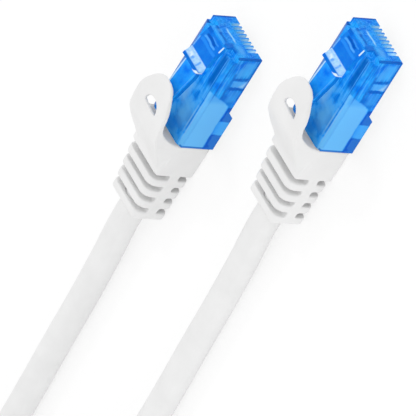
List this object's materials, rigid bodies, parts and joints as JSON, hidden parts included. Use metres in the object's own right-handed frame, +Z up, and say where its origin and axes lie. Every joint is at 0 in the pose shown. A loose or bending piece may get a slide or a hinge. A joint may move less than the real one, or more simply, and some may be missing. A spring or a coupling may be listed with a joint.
{
  "type": "ethernet patch cable",
  "caption": "Round patch cable with a clear modular plug at each end, sprung latch under a soft moulded boot's hood, slack folded into a tied hank.",
  "frame": {"origin": "on the floor in the middle of the two plugs and boots, the cord left out", "axes": "+Y the way a plug goes into its socket, +X across the plugs, +Z up, the latch side"},
  "size_m": [0.0424, 0.2475, 0.0238],
  "materials": {
    "plug_clear_blue": "gloss",
    "latch_clear_blue": "gloss",
    "gold_plated_contacts": "gloss",
    "load_bar_clear": "gloss",
    "wire_blue": "satin",
    "wire_orange": "satin",
    "wire_green": "satin",
    "wire_brown": "satin",
    "strain_bar_clear_blue": "gloss",
    "cable_jacket": "satin",
    "boot_soft_plastic": "satin",
    "tie_fabric": "matte"
  },
  "bodies": {
    "cable": {"plug_housing_a": "plug_clear_blue", "contact_blades_a": "gold_plated_contacts", "load_bar_a": "load_bar_clear", "wire_pair_blue_a": "wire_blue", "wire_pair_orange_a": "wire_orange", "wire_pair_green_a": "wire_green", "wire_pair_brown_a": "wire_brown", "strain_bar_a": "strain_bar_clear_blue", "jacket_end_a": "cable_jacket", "boot_a": "boot_soft_plastic", "plug_housing_b": "plug_clear_blue", "contact_blades_b": "gold_plated_contacts", "load_bar_b": "load_bar_clear", "wire_pair_blue_b": "wire_blue", "wire_pair_orange_b": "wire_orange", "wire_pair_green_b": "wire_green", "wire_pair_brown_b": "wire_brown", "strain_bar_b": "strain_bar_clear_blue", "jacket_end_b": "cable_jacket", "boot_b": "boot_soft_plastic", "cable_run_a": "cable_jacket", "cable_run_b": "cable_jacket", "cable_hank": "cable_jacket", "hank_tie": "tie_fabric"},
    "latch_arm_a": {"latch_a": "latch_clear_blue"},
    "latch_arm_b": {"latch_b": "latch_clear_blue"}
  },
  "joints": [
    {"name": "latch_a_press", "type": "hinge", "parent": "cable", "child": "latch_arm_a", "pos_m": [-0.015, 0.00595, 0.0083], "axis": [1, 0, 0], "range_deg": [0, 9], "stiffness_Nm_per_rad": 0.3},
    {"name": "latch_b_press", "type": "hinge", "parent": "cable", "child": "latch_arm_b", "pos_m": [0.015, 0.03365, 0.0083], "axis": [1, 0, 0], "range_deg": [0, 9], "stiffness_Nm_per_rad": 0.3}
  ]
}
